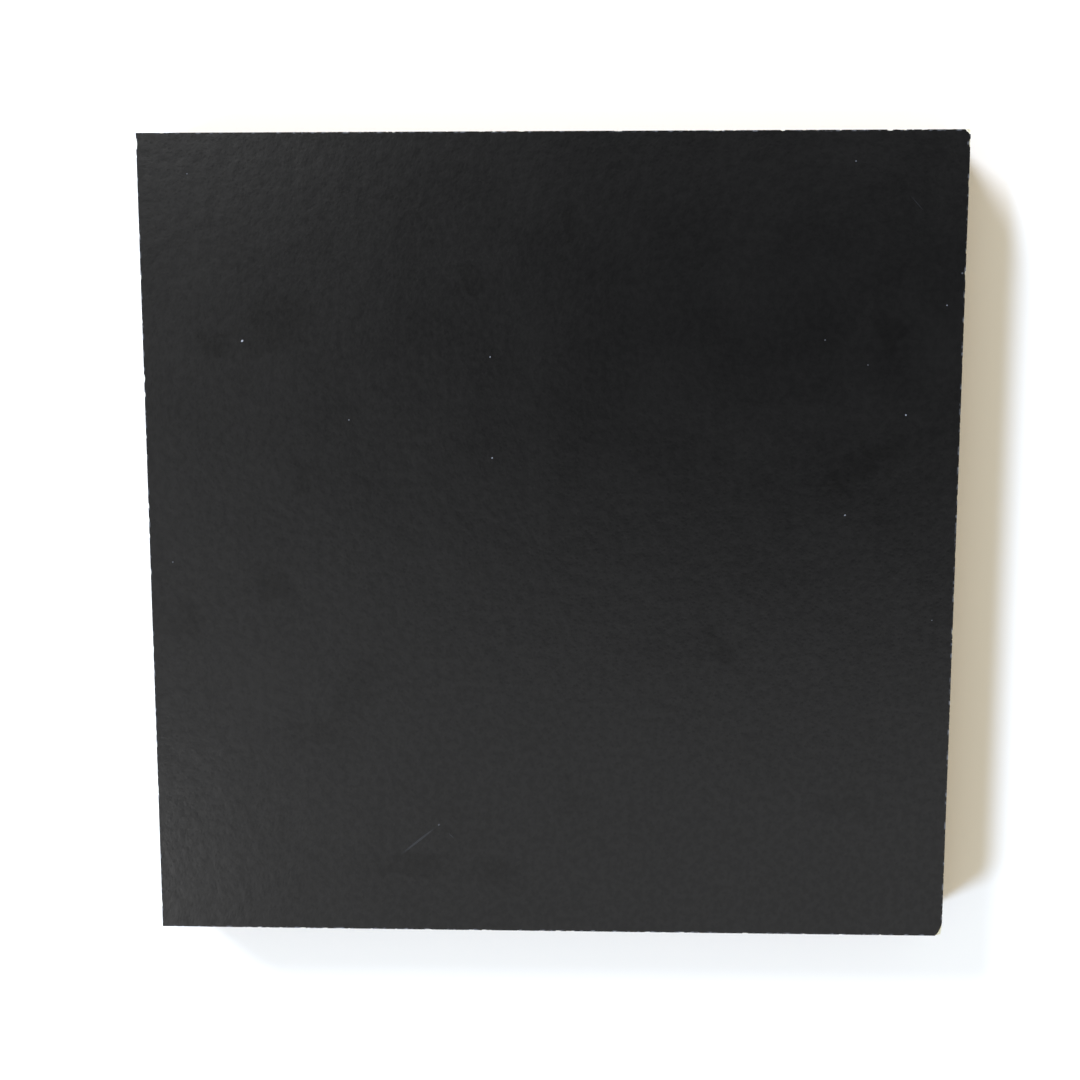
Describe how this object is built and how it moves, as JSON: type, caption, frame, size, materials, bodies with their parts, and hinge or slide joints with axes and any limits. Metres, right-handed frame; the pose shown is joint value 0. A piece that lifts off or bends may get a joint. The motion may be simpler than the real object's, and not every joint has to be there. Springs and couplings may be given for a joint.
{
  "type": "plywood sheet",
  "caption": "Square-cut piece of film-faced plywood with a dark satin face, pale wood edges and slightly knocked corners, for panels, shelves and formwork.",
  "frame": {"origin": "middle of the back face, on the surface that the sheet lies on", "axes": "+Z is the outward normal of the good face and +X and +Y run along the sawn edges"},
  "size_m": [0.2, 0.2, 0.018],
  "materials": {
    "film": "near-black phenolic film pressed onto the wood, satin, with a fine pebbled relief",
    "veneer": "raw sawn birch veneers, pale, in crossed layers with thin dark glue lines"
  },
  "bodies": {
    "root": {"plywood_sheet": "film"}
  },
  "joints": []
}
